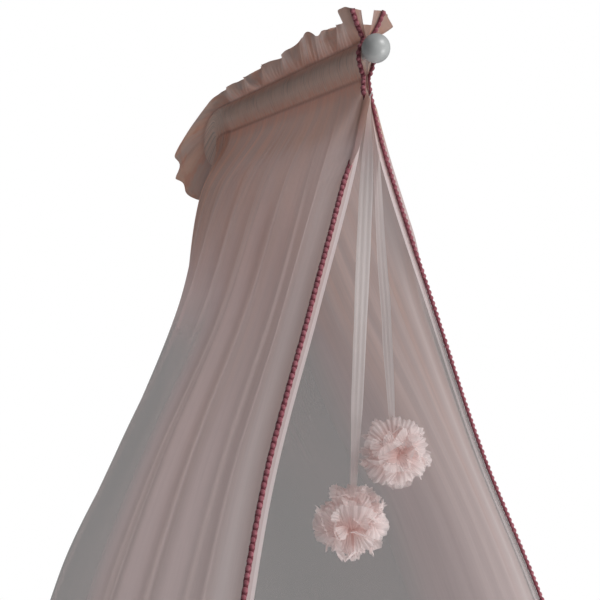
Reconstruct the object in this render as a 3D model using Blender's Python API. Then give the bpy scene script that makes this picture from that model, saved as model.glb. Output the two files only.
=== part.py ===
"""Mosquito net canopy for a cot, hung on a straight wall rod (metres, +Z up).

The wall is the plane y = 0 and the rod runs out from it along -Y, with its axis at x = 0, z = 0.
The cloth is one piece, doubled over the rod: its middle droops round the rod's wall end, and its
two side edges meet behind the ball. `share` counts along the top edge of each half of the cloth,
from 0 at the middle of the back to 1 at the front edge.
"""
import math

import bmesh
import bpy
from mathutils import Matrix, Vector

ROD_LENGTH = 0.6005
ROD_RADIUS = 0.010
ROD_SIDES = 24
BALL_RADIUS = 0.025
BALL_CENTRE_Y = -0.623
BALL_SIDES = 24
BALL_BANDS = 11

SHEET_THICKNESS = 0.0016
TRIM_GAP = 0.0010
BALL_GAP = 0.0003
SEAM_HALF = 0.0013          # from the middle plane to each layer at the two seams
UPPER_SEAM_Z = 0.022
SHOULDER_Z = 0.003
BELLY_Z = -0.015
LOWER_SEAM_Z = -0.045
SHOULDER_HALF = 0.0114
BELLY_HALF = 0.0125
GATHER_SWELL = 0.003        # how far the pocket's gathers stand out
GATHERS = 17
POCKET_FRONT_Y = -0.597
POCKET_BACK_Y = -0.060
HEM_Z = -1.480

COLLAR_SHARE = 0.24         # the part of each half that droops past the rod's wall end
COLLAR_LEAD = 0.03          # how far into the straight heading the droop takes its direction from
TRIM_SHARE = 0.985
EDGE_TURN = 0.015           # width of the strip in front of the trim, turned inwards
EDGE_TURN_SHARE = 0.35      # the most of the panel's distance from the middle it may take
EDGE_FORWARD = 0.004        # how far the front edge stands in front of the trim
COLUMNS_PER_HALF = 44
PANEL_ROWS = 15
ROW_CROWDING = 1.35         # above 1, the rows lie closer together near the lower seam
HEADING_ROWS = 3

FLAP_FORWARD = 0.016        # how far the heading's two end flaps tip forwards
FLAP_LENGTH = 0.050

# The heading's free edge, by distance from the pocket's front end: height above the upper seam
# and distance from the middle plane.
HEADING_COLUMNS = ("place", "rise", "lean")
HEADING = {
    -1: (
        (0.000, 0.049, 0.009), (0.008, 0.054, 0.034), (0.022, 0.050, 0.054), (0.048, 0.040, 0.022),
        (0.078, 0.046, 0.010), (0.113, 0.042, 0.024), (0.144, 0.044, 0.012), (0.172, 0.058, 0.022),
        (0.200, 0.056, 0.010), (0.234, 0.040, 0.028), (0.290, 0.038, 0.012), (0.333, 0.036, 0.026),
        (0.370, 0.040, 0.012), (0.404, 0.024, 0.032), (0.461, 0.034, 0.012), (0.500, 0.024, 0.030),
        (0.534, 0.024, 0.022)),
    1: (
        (0.000, 0.050, 0.009), (0.008, 0.058, 0.036), (0.022, 0.045, 0.060), (0.050, 0.044, 0.018),
        (0.092, 0.046, 0.028), (0.128, 0.044, 0.010), (0.160, 0.052, 0.026), (0.204, 0.056, 0.012),
        (0.250, 0.038, 0.028), (0.300, 0.040, 0.010), (0.350, 0.034, 0.030), (0.400, 0.032, 0.012),
        (0.445, 0.030, 0.030), (0.490, 0.028, 0.014), (0.534, 0.024, 0.022)),
}

# Ribs of the part that droops over the rod's wall end, given for the +X half.
COLLAR_COLUMNS = ("share", "top", "upper", "shoulder", "belly", "lower")
COLLAR = (
    (0.00, (0.000, -0.008, -0.196), (0.000, -0.014, -0.124), (0.000, -0.020, -0.080),
     (0.000, -0.028, -0.074), (0.000, -0.036, -0.092)),
    (0.06, (0.066, -0.008, -0.198), (0.036, -0.014, -0.115), (0.020, -0.021, -0.071),
     (0.018, -0.029, -0.065), (0.022, -0.037, -0.085)),
    (0.11, (0.108, -0.010, -0.166), (0.050, -0.015, -0.080), (0.030, -0.024, -0.042),
     (0.027, -0.032, -0.045), (0.030, -0.042, -0.070)),
    (0.16, (0.112, -0.014, -0.084), (0.046, -0.019, -0.030), (0.030, -0.030, -0.010),
     (0.026, -0.040, -0.024), (0.026, -0.050, -0.057)),
    (0.20, (0.068, -0.020, -0.008), (0.026, -0.030, 0.006), (0.022, -0.040, 0.002),
     (0.019, -0.049, -0.015), (0.014, -0.057, -0.049)),
)

# Plan of the hanging panels at five heights, given for the +X half.
PANEL_COLUMNS = ("level", "front_x", "front_y", "bulge_x", "bulge_y", "corner_x", "corner_y",
                 "back_y")
PANEL = (
    (-0.20, 0.041, -0.600, 0.086, -0.222, 0.070, -0.044, -0.034),
    (-0.46, 0.133, -0.619, 0.190, -0.250, 0.101, -0.034, -0.026),
    (-0.72, 0.227, -0.640, 0.332, -0.270, 0.165, -0.032, -0.024),
    (-0.97, 0.311, -0.696, 0.456, -0.290, 0.290, -0.034, -0.024),
    (-1.48, 0.470, -0.800, 0.640, -0.350, 0.430, -0.045, -0.026),
)
SEAM_DROP = 0.035           # height over which the cloth hangs straight under the lower seam
SEAM_DRIFT = 0.13           # how far it has drifted towards the tabled plan by then
CORNER_SHARE = 0.18
BULGE_SHARE = 0.50

# Ridges (positive) and valleys of the panels' main folds, by share of each half.
FOLD_COLUMNS = ("share", "out")
FOLDS = {
    -1: (
        (0.00, 0.000), (0.10, -0.004), (0.20, 0.006), (0.29, -0.006), (0.36, 0.005),
        (0.43, -0.008), (0.50, 0.012), (0.56, -0.011), (0.61, 0.008), (0.66, -0.010),
        (0.71, 0.013), (0.75, -0.011), (0.79, 0.014), (0.84, -0.012), (0.87, 0.003),
        (0.90, -0.005), (0.935, 0.012), (0.975, 0.000), (1.00, 0.000)),
    1: (
        (0.00, 0.000), (0.09, 0.005), (0.19, -0.005), (0.27, 0.006), (0.35, -0.007),
        (0.43, 0.009), (0.49, -0.009), (0.55, 0.011), (0.61, -0.012), (0.66, 0.010),
        (0.72, -0.010), (0.77, 0.013), (0.82, -0.013), (0.87, 0.010), (0.91, -0.008),
        (0.945, 0.012), (0.98, 0.002), (1.00, 0.000)),
}
FOLD_START = 0.28           # depth below the lower seam at which a fold has its full height
FOLD_AT_HEM = 1.6
FULL_FOLD_X = 0.024         # distance from the middle plane at which folds have their full depth
LEAST_FOLD_X = 0.020        # distance below which folds get no shallower
SLOPE_STEP = 0.004          # difference in share over which the panel's direction is taken

TRIM_STEP = 0.012           # half the spacing of the modelled bobbles
TAPE_HALF_WIDTH = 0.0026
TAPE_HALF_DEPTH = 0.0009
BOBBLE_HALF_WIDTH = 0.0040
BOBBLE_HALF_DEPTH = 0.0028

RIBBON_THICKNESS = 0.0012
RIBBON_GAP = 0.0006
RIBBON_SHARE = 0.975
RIBBON_ROW = HEADING_ROWS + 4     # the first row of the cloth under the lower seam
RIBBON_COLUMNS = ("fraction", "half_width", "turn")
RIBBONS = {
    "ribbon_long": {
        "side": -1, "pompom": "pompom_lower", "rows": (
            (0.00, 0.0030, 88.0), (0.06, 0.0070, 96.0), (0.16, 0.0110, 128.0),
            (0.45, 0.0122, 146.0), (0.70, 0.0104, 138.0), (0.84, 0.0076, 146.0),
            (1.00, 0.0040, 150.0))},
    "ribbon_short": {
        "side": 1, "pompom": "pompom_upper", "rows": (
            (0.00, 0.0030, 92.0), (0.06, 0.0070, 86.0), (0.16, 0.0110, 90.0),
            (0.45, 0.0120, 102.0), (0.75, 0.0110, 108.0), (0.93, 0.0080, 98.0),
            (1.00, 0.0036, 90.0))},
}
RIBBON_ROWS = 24
POMPOMS = {
    "pompom_upper": {"centre": (0.0423, -0.6194, -0.7040), "radius": 0.0610, "phase": 0.4,
                     "ribbon": "ribbon_short"},
    "pompom_lower": {"centre": (-0.0213, -0.5812, -0.8255), "radius": 0.0650, "phase": 1.9,
                     "ribbon": "ribbon_long"},
}
POMPOM_CORE = 0.020
POMPOM_GAP = 0.0005
LOCK_SPREAD = 0.62          # width of a lock's end as a share of its room
LOCK_SHORTEST = 0.74        # as a share of the pompom's radius
LOCK_TWIST = math.radians(12.0)
LOCK_RIPPLE = 2.4             # turn between the lengths of one lock and the next, radians
CROWN_ANGLE = math.radians(34.0)    # cone left free of locks, where the ribbon comes in

COLOURS = {
    "blush_voile": (0.80, 0.62, 0.58), "rose_bobbles": (0.45, 0.12, 0.16),
    "blush_tulle": (0.88, 0.70, 0.68), "white_gloss": (0.86, 0.87, 0.86),
}


def clear_scene():
    for item in list(bpy.data.objects):
        bpy.data.objects.remove(item, do_unlink=True)


def make_material(name, roughness):
    material = bpy.data.materials.new(name)
    material.use_nodes = True
    shader = material.node_tree.nodes["Principled BSDF"]
    shader.inputs["Base Color"].default_value = (*COLOURS[name], 1.0)
    shader.inputs["Roughness"].default_value = roughness
    shader.inputs["Metallic"].default_value = 0.0
    return material


def add_object(name, vertices, faces, material):
    mesh = bpy.data.meshes.new(name)
    mesh.from_pydata([tuple(vertex) for vertex in vertices], [], faces)
    mesh.validate()
    mesh.materials.append(material)
    piece = bpy.data.objects.new(name, mesh)
    bpy.context.scene.collection.objects.link(piece)
    return piece


def smooth(fraction):
    fraction = min(max(fraction, 0.0), 1.0)
    return fraction * fraction * (3.0 - 2.0 * fraction)


def curve_through(knots, values, place):
    """Value at `place` on the smooth curve through (knot, value) pairs, with knots rising."""
    last = len(knots) - 1
    if place <= knots[0]:
        return values[0]
    if place >= knots[last]:
        return values[last]
    index = max(i for i in range(last) if knots[i] <= place)

    def slope(i):
        low, high = max(i - 1, 0), min(i + 1, last)
        return (values[high] - values[low]) / (knots[high] - knots[low])

    width = knots[index + 1] - knots[index]
    t = (place - knots[index]) / width
    start, end = values[index], values[index + 1]
    return (start * (2 * t**3 - 3 * t**2 + 1) + end * (3 * t**2 - 2 * t**3)
            + slope(index) * width * (t**3 - 2 * t**2 + t)
            + slope(index + 1) * width * (t**3 - t**2))


def wave_through(knots, values, place):
    """Value at `place` on the wave that turns smoothly at each (knot, value) pair."""
    for low, high, first, second in zip(knots, knots[1:], values, values[1:]):
        if place <= high:
            return first + (second - first) * smooth((place - low) / (high - low))
    return values[-1]


def column(table, columns, name):
    """The values of one named column of a table."""
    index = columns.index(name)
    return [row[index] for row in table]


def rod_rib(side, share):
    """The lines of the heading and the pocket, where the cloth hangs on the rod."""
    along = (share - COLLAR_SHARE) / (1.0 - COLLAR_SHARE)
    y = POCKET_BACK_Y + along * (POCKET_FRONT_Y - POCKET_BACK_Y)
    place = y - POCKET_FRONT_Y
    places = column(HEADING[side], HEADING_COLUMNS, "place")
    rise = wave_through(places, column(HEADING[side], HEADING_COLUMNS, "rise"), place)
    lean = wave_through(places, column(HEADING[side], HEADING_COLUMNS, "lean"), place)
    flare = FLAP_FORWARD * max(0.0, 1.0 - place / FLAP_LENGTH)
    swell = GATHER_SWELL * (0.5 - 0.5 * math.cos(2.0 * math.pi * GATHERS * along))
    return {
        "top": Vector((lean, y - flare, UPPER_SEAM_Z + rise)),
        "upper": Vector((SEAM_HALF, y, UPPER_SEAM_Z)),
        "shoulder": Vector((SHOULDER_HALF + swell, y, SHOULDER_Z)),
        "belly": Vector((BELLY_HALF + swell, y, BELLY_Z)),
        "lower": Vector((SEAM_HALF, y, LOWER_SEAM_Z)),
    }


def rib(side, share):
    """The lines of the heading and the pocket at `share`, for the +X half."""
    if share >= COLLAR_SHARE:
        return rod_rib(side, share)
    shares = column(COLLAR, COLLAR_COLUMNS, "share")
    shares = [-shares[1]] + shares + [COLLAR_SHARE, COLLAR_SHARE + COLLAR_LEAD]
    following = [rod_rib(side, later) for later in shares[-2:]]
    found = {}
    for line in COLLAR_COLUMNS[1:]:
        points = [Vector(point) for point in column(COLLAR, COLLAR_COLUMNS, line)]
        mirrored = Vector((-points[1].x, points[1].y, points[1].z))
        points = [mirrored] + points + [later[line] for later in following]
        found[line] = Vector([curve_through(shares, [p[axis] for p in points], share)
                              for axis in range(3)])
    return found


def plan_point(level_row, share):
    """Plan position of the smooth panel at one of the tabled heights."""
    plan = dict(zip(PANEL_COLUMNS, level_row))
    shares = (-CORNER_SHARE, 0.0, CORNER_SHARE, BULGE_SHARE, TRIM_SHARE)
    across = (-plan["corner_x"], 0.0, plan["corner_x"], plan["bulge_x"], plan["front_x"])
    along = (plan["corner_y"], plan["back_y"], plan["corner_y"], plan["bulge_y"], plan["front_y"])
    inner = min(share, TRIM_SHARE)
    x = curve_through(shares, across, inner)
    y = curve_through(shares, along, inner)
    turned = (share - inner) / (1.0 - TRIM_SHARE)
    x -= min(EDGE_TURN, EDGE_TURN_SHARE * plan["front_x"]) * turned
    return x, y - EDGE_FORWARD * turned


def smooth_panel(share, z, seam):
    """Position of the panel without its folds, on the height z."""
    plans = [Vector(plan_point(row, share)) for row in PANEL]
    hanging = Vector((seam.x, seam.y)).lerp(plans[0], SEAM_DRIFT)
    depths = [-seam.z, SEAM_DROP - seam.z] + [-level for level in column(PANEL, PANEL_COLUMNS, "level")]
    points = [seam, hanging] + plans
    return Vector([curve_through(depths, [p[axis] for p in points], -z) for axis in range(2)])


def panel_point(side, share, fraction):
    """Position on the hanging panel, `fraction` of the way from the lower seam to the hem."""
    seam = rib(side, share)["lower"]
    z = seam.z + (HEM_Z - seam.z) * fraction
    here = smooth_panel(share, z, seam)
    near = max(share - SLOPE_STEP, 0.0)
    far = min(share + SLOPE_STEP, 1.0)
    before = smooth_panel(near, z, rib(side, near)["lower"])
    after = smooth_panel(far, z, rib(side, far)["lower"])
    run = after - before
    outward = Vector((-run.y, run.x)).normalized()
    growth = smooth((seam.z - z) / FOLD_START) * (1.0 + (FOLD_AT_HEM - 1.0) * fraction)
    room = min(1.0, max(here.x, LEAST_FOLD_X) / FULL_FOLD_X) if share > COLLAR_SHARE else 1.0
    shares = column(FOLDS[side], FOLD_COLUMNS, "share")
    fold = wave_through(shares, column(FOLDS[side], FOLD_COLUMNS, "out"), share)
    place = here + outward * fold * growth * room
    return Vector((place.x, place.y, z))


def column_points(side, share):
    """One column of the cloth, from the heading's free edge to the hem, on the given side."""
    lines = rib(side, share)
    points = []
    for row in range(HEADING_ROWS):
        points.append(lines["upper"].lerp(lines["top"], 1.0 - row / HEADING_ROWS))
    points += [lines["upper"], lines["shoulder"], lines["belly"], lines["lower"]]
    for row in range(1, PANEL_ROWS + 1):
        points.append(panel_point(side, share, (row / PANEL_ROWS) ** ROW_CROWDING))
    return [Vector((side * point.x, point.y, point.z)) for point in points]


def half_shares():
    """Shares of the columns on one half, the last two at the trim and at the front edge."""
    return [TRIM_SHARE * i / COLUMNS_PER_HALF for i in range(COLUMNS_PER_HALF + 1)] + [1.0]


def cloth_columns():
    """All columns of the cloth, from the left front edge round the back to the right one."""
    shares = half_shares()
    left = [column_points(-1, share) for share in reversed(shares[1:])]
    right = [column_points(1, share) for share in shares]
    return left + right


def split_quads(piece):
    """Splits a twisted surface's quads along their shorter diagonals."""
    split = piece.modifiers.new("even_diagonals", "TRIANGULATE")
    split.quad_method = "SHORTEST_DIAGONAL"


def build_canopy(material):
    """The one-piece cloth: a thin sheet through the columns, thickened."""
    columns = cloth_columns()
    rows = len(columns[0])
    vertices = [point for column in columns for point in column]
    faces = []
    for c in range(len(columns) - 1):
        for r in range(rows - 1):
            here = c * rows + r
            faces.append((here, here + 1, here + rows + 1, here + rows))
    canopy = add_object("canopy_cloth", vertices, faces, material)
    canopy.data.shade_smooth()
    split_quads(canopy)
    wall = canopy.modifiers.new("cloth_thickness", "SOLIDIFY")
    wall.thickness = SHEET_THICKNESS
    wall.offset = 0.0
    wall.use_even_offset = True
    return canopy


def tube_between_rings(name, rings, material):
    """A closed tube through rings of the same number of points."""
    count = len(rings[0])
    vertices = [point for ring in rings for point in ring]
    faces = [tuple(reversed(range(count)))]
    for ring in range(len(rings) - 1):
        for i in range(count):
            j = (i + 1) % count
            low, high = ring * count, (ring + 1) * count
            faces.append((low + i, low + j, high + j, high + i))
    faces.append(tuple(range(len(vertices) - count, len(vertices))))
    piece = add_object(name, vertices, faces, material)
    mesh = bmesh.new()
    mesh.from_mesh(piece.data)
    bmesh.ops.recalc_face_normals(mesh, faces=mesh.faces)
    mesh.to_mesh(piece.data)
    mesh.free()
    split_quads(piece)
    return piece


def build_trim(name, side, columns, material):
    """Bobble trim on the outer face of the cloth, down the column next to the front edge."""
    order = columns if side < 0 else list(reversed(columns))
    edge, line, inner = order[0], order[1], order[2]
    frames = []
    for r in range(len(line)):
        down = line[min(r + 1, len(line) - 1)] - line[max(r - 1, 0)]
        forward = edge[r] - inner[r]
        outward = down.cross(forward).normalized() * -side
        across = outward.cross(down).normalized()
        frames.append((line[r], outward, across))
    rings = []
    for r in range(len(frames) - 1):
        start, end = frames[r], frames[r + 1]
        steps = max(1, round((end[0] - start[0]).length / TRIM_STEP))
        last = steps + 1 if r == len(frames) - 2 else steps
        for step in range(last):
            t = step / steps
            place, outward, across = [a.lerp(b, t) for a, b in zip(start, end)]
            wide = len(rings) % 2 == 1
            half_width = BOBBLE_HALF_WIDTH if wide else TAPE_HALF_WIDTH
            half_depth = BOBBLE_HALF_DEPTH if wide else TAPE_HALF_DEPTH
            foot = place + outward * (SHEET_THICKNESS / 2 + TRIM_GAP)
            middle = foot + outward * half_depth
            rings.append([foot, middle + across * half_width, foot + outward * 2 * half_depth,
                          middle - across * half_width])
    return tube_between_rings(name, rings, material)


def ribbon_start(spec):
    """Middle of a ribbon's top end, against the inner face of the cloth under the lower seam."""
    side = spec["side"]
    layer = column_points(side, RIBBON_SHARE)[RIBBON_ROW]
    inward = SHEET_THICKNESS / 2 + RIBBON_THICKNESS / 2 + RIBBON_GAP
    return layer - Vector((side * inward, 0.0, 0.0))


def build_ribbon(name, spec, material):
    """A flat tulle ribbon from the pocket's front end to the top of its pompom."""
    pompom = POMPOMS[spec["pompom"]]
    start = ribbon_start(spec)
    towards = start - Vector(pompom["centre"])
    end = Vector(pompom["centre"]) + towards.normalized() * (POMPOM_CORE + POMPOM_GAP)
    fractions = column(spec["rows"], RIBBON_COLUMNS, "fraction")
    half_widths = column(spec["rows"], RIBBON_COLUMNS, "half_width")
    turns = column(spec["rows"], RIBBON_COLUMNS, "turn")
    rings = []
    for i in range(RIBBON_ROWS + 1):
        fraction = i / RIBBON_ROWS
        centre = start.lerp(end, fraction)
        half = curve_through(fractions, half_widths, fraction)
        turn = math.radians(curve_through(fractions, turns, fraction))
        across = Vector((math.cos(turn), math.sin(turn), 0.0)) * half
        through = Vector((-math.sin(turn), math.cos(turn), 0.0)) * RIBBON_THICKNESS / 2
        rings.append([centre - across - through, centre + across - through,
                      centre + across + through, centre - across + through])
    return tube_between_rings(name, rings, material)


def build_pompom(name, spec, material):
    """A ruffled pompom: three-sided locks fused at their roots to a small core."""
    mesh = bmesh.new()
    bmesh.ops.create_icosphere(mesh, subdivisions=2, radius=POMPOM_CORE)
    core = [vertex.co.copy() for vertex in mesh.verts]
    triangles = [[vertex.index for vertex in face.verts] for face in mesh.faces]
    mesh.free()
    centre = Vector(spec["centre"])
    to_ribbon = ribbon_start(RIBBONS[spec["ribbon"]]) - centre
    vertices = [centre + point for point in core]
    faces = []
    for number, triangle in enumerate(triangles):
        middle = sum((core[i] for i in triangle), Vector()) / 3.0
        if middle.angle(to_ribbon) < CROWN_ANGLE:
            faces.append(tuple(triangle))
            continue
        ripple = 0.5 + 0.5 * math.sin(LOCK_RIPPLE * number + spec["phase"])
        reach = spec["radius"] * (LOCK_SHORTEST + (1.0 - LOCK_SHORTEST) * ripple)
        scale = reach / middle.length
        twist = Matrix.Rotation(LOCK_TWIST * math.cos(LOCK_RIPPLE * number), 3, middle)
        tips = []
        for corner in triangle:
            offset = twist @ (core[corner] - middle) * scale * LOCK_SPREAD
            vertices.append(centre + middle * scale + offset)
            tips.append(len(vertices) - 1)
        for i in range(3):
            j = (i + 1) % 3
            faces.append((triangle[i], triangle[j], tips[j], tips[i]))
        faces.append(tuple(tips))
    return add_object(name, vertices, faces, material)


def build_rod(material):
    """The plain straight rod, with its flat end at the wall."""
    mesh = bmesh.new()
    turn = Matrix.Rotation(math.radians(90.0), 4, "X")
    bmesh.ops.create_cone(mesh, cap_ends=True, segments=ROD_SIDES, radius1=ROD_RADIUS,
                          radius2=ROD_RADIUS, depth=ROD_LENGTH, matrix=turn)
    bmesh.ops.translate(mesh, verts=mesh.verts, vec=(0.0, -ROD_LENGTH / 2.0, 0.0))
    rod_mesh = bpy.data.meshes.new("rod")
    mesh.to_mesh(rod_mesh)
    mesh.free()
    rod_mesh.materials.append(material)
    rod = bpy.data.objects.new("rod", rod_mesh)
    bpy.context.scene.collection.objects.link(rod)
    rod_mesh.shade_smooth()
    rod_mesh.set_sharp_from_angle(angle=math.radians(40.0))
    return rod


def build_ball(material):
    """The ball on the rod's free end, turned flat where it meets the rod."""
    flat_y = -(ROD_LENGTH + BALL_GAP)
    start_angle = math.acos((flat_y - BALL_CENTRE_Y) / BALL_RADIUS)
    vertices = []
    for band in range(BALL_BANDS):
        angle = start_angle + (math.pi - start_angle) * band / BALL_BANDS
        ring_radius = BALL_RADIUS * math.sin(angle)
        y = BALL_CENTRE_Y + BALL_RADIUS * math.cos(angle)
        for i in range(BALL_SIDES):
            turn = 2.0 * math.pi * i / BALL_SIDES
            vertices.append((ring_radius * math.cos(turn), y, ring_radius * math.sin(turn)))
    vertices.append((0.0, BALL_CENTRE_Y - BALL_RADIUS, 0.0))
    tip = len(vertices) - 1
    faces = [tuple(reversed(range(BALL_SIDES)))]
    for band in range(BALL_BANDS - 1):
        low, high = band * BALL_SIDES, (band + 1) * BALL_SIDES
        for i in range(BALL_SIDES):
            j = (i + 1) % BALL_SIDES
            faces.append((low + i, low + j, high + j, high + i))
    last = (BALL_BANDS - 1) * BALL_SIDES
    for i in range(BALL_SIDES):
        faces.append((last + i, last + (i + 1) % BALL_SIDES, tip))
    ball = add_object("ball_finial", vertices, faces, material)
    ball.data.shade_smooth()
    ball.data.set_sharp_from_angle(angle=math.radians(40.0))
    return ball


def build_all():
    clear_scene()
    voile = make_material("blush_voile", 0.90)
    bobbles = make_material("rose_bobbles", 0.85)
    tulle = make_material("blush_tulle", 0.90)
    gloss = make_material("white_gloss", 0.25)
    build_rod(gloss)
    build_ball(gloss)
    build_canopy(voile)
    columns = cloth_columns()
    build_trim("bobble_trim_left", -1, columns, bobbles)
    build_trim("bobble_trim_right", 1, columns, bobbles)
    for name, spec in RIBBONS.items():
        build_ribbon(name, spec, tulle)
    for name, spec in POMPOMS.items():
        build_pompom(name, spec, tulle)


build_all()
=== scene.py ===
import random
from math import cos, pi, radians, sin, sqrt
from types import SimpleNamespace

import bmesh
import bpy
import numpy as np
from mathutils import Matrix, Vector


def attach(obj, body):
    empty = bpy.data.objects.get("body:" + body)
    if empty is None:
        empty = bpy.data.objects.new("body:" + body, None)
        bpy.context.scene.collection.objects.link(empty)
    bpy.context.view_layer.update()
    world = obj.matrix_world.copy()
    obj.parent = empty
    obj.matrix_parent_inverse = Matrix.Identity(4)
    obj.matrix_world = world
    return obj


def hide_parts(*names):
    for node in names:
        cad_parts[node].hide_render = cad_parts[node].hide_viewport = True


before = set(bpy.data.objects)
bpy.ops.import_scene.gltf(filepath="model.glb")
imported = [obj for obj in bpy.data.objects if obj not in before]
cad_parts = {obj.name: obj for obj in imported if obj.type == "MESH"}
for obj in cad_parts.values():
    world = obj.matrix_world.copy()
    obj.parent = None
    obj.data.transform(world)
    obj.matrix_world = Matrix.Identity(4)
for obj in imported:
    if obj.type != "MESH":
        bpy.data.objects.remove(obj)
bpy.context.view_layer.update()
print("frame loaded:", len(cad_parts), "nodes")

# camera, as the photograph was taken: 600 x 600, level, turned 31 degrees to the right

view = {
    "place": (-0.848, -1.779, -0.436),
    "turn": 31.0,  # degrees to the right of +Y
    "focalPixels": 824.0,  # focal length over the picture's width of 600
    "pictureWidth": 600.0,
    "sensor": 36.0,
}


def makeCamera():
    level = (radians(90), 0, radians(-view["turn"]))
    bpy.ops.object.camera_add(location=view["place"], rotation=level)
    camera = bpy.context.object
    camera.name = "camera"
    camera.data.sensor_width = view["sensor"]
    camera.data.lens = view["sensor"] * view["focalPixels"] / view["pictureWidth"]
    bpy.context.scene.camera = camera


makeCamera()

# light: a soft window up in front, a lower one at the right, a dim grey room, white paper behind and below

studio = {
    "roomGrey": (0.125, 0.125, 0.128), "paperWhite": (1, 1, 1),
    "wallGrey": (0.2, 0.203, 0.201),  # what shows through the sheer cloth
    "windowPlace": (0.85, -3.05, 1.75), "windowAim": (0.0, -0.45, -0.55),
    "windowSize": (1.5, 1.2), "windowPower": 58.0,
    "sidePlace": (1.15, -2.35, -1.15), "sideAim": (0.02, -0.5, -0.8),
    "sideSize": (1.0, 1.0), "sidePower": 23.0, "lampColour": (1.0, 0.99, 0.98),
    "clearLayers": 40,  # how many sheer layers light can pass
    "floorPlace": (0, -0.4, -1.95), "floorSize": 3.4, "floorGlow": 0.38,
    "floorColour": (0.85, 0.85, 0.845, 1),
}


def aimed(place, target):
    return (Vector(target) - Vector(place)).to_track_quat("-Z", "Y").to_euler()


def makeRoom():
    world = bpy.data.worlds.new("paperRoom")
    world.use_nodes = True
    bpy.context.scene.world = world
    nodes, links = world.node_tree.nodes, world.node_tree.links
    nodes.clear()
    backgrounds = []
    for colour in (studio["roomGrey"], studio["wallGrey"], studio["paperWhite"]):
        backgrounds.append(nodes.new("ShaderNodeBackground"))
        backgrounds[-1].inputs["Color"].default_value = (*colour, 1)
    room, wall, paper = backgrounds
    ray = nodes.new("ShaderNodeLightPath")
    bare = nodes.new("ShaderNodeMath")  # 1 where nothing sheer is in front of the paper
    bare.operation = "LESS_THAN"
    bare.inputs[1].default_value = 0.5
    links.new(ray.outputs["Transparent Depth"], bare.inputs[0])
    out = nodes.new("ShaderNodeOutputWorld")
    behind, shown = nodes.new("ShaderNodeMixShader"), nodes.new("ShaderNodeMixShader")
    for mixed, parts in ((behind, (bare, wall, paper)), (shown, (None, room, behind))):
        for slot, part in zip(mixed.inputs, parts):
            if part:
                links.new(part.outputs[0], slot)
    links.new(ray.outputs["Is Camera Ray"], shown.inputs[0])
    links.new(shown.outputs[0], out.inputs["Surface"])


def makeLights():
    for name in ("window", "side"):
        place = studio[name + "Place"]
        bpy.ops.object.light_add(type="AREA", location=place, rotation=aimed(place, studio[name + "Aim"]))
        light = bpy.context.object
        light.name = name + "Light"
        light.data.shape = "RECTANGLE"
        light.data.size, light.data.size_y = studio[name + "Size"]
        light.data.energy = studio[name + "Power"]
        light.data.color = studio["lampColour"]


makeRoom()
makeLights()
bpy.context.scene.view_settings.view_transform = "Standard"
bpy.context.scene.cycles.transparent_max_bounces = studio["clearLayers"]
print("camera and light made")


# shader maths written as expressions

class Socket:
    def __init__(self, tree, socket):
        self.tree, self.socket = tree, socket

    def sum(self, operation, other, swapped=False):
        pair = (other, self) if swapped else (self, other)
        return self.tree.node("Math", {"operation": operation}, {0: pair[0], 1: pair[1]})[0]

    def __add__(self, other):
        return self.sum("ADD", other)

    def __radd__(self, other):
        return self.sum("ADD", other, True)

    def __sub__(self, other):
        return self.sum("SUBTRACT", other)

    def __rsub__(self, other):
        return self.sum("SUBTRACT", other, True)

    def __mul__(self, other):
        return self.sum("MULTIPLY", other)

    def __rmul__(self, other):
        return self.sum("MULTIPLY", other, True)

    def __truediv__(self, other):
        return self.sum("DIVIDE", other)

    def __gt__(self, other):
        return self.sum("GREATER_THAN", other)

    def __lt__(self, other):
        return self.sum("LESS_THAN", other)

    def __rpow__(self, other):
        return self.sum("POWER", other, True)


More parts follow.
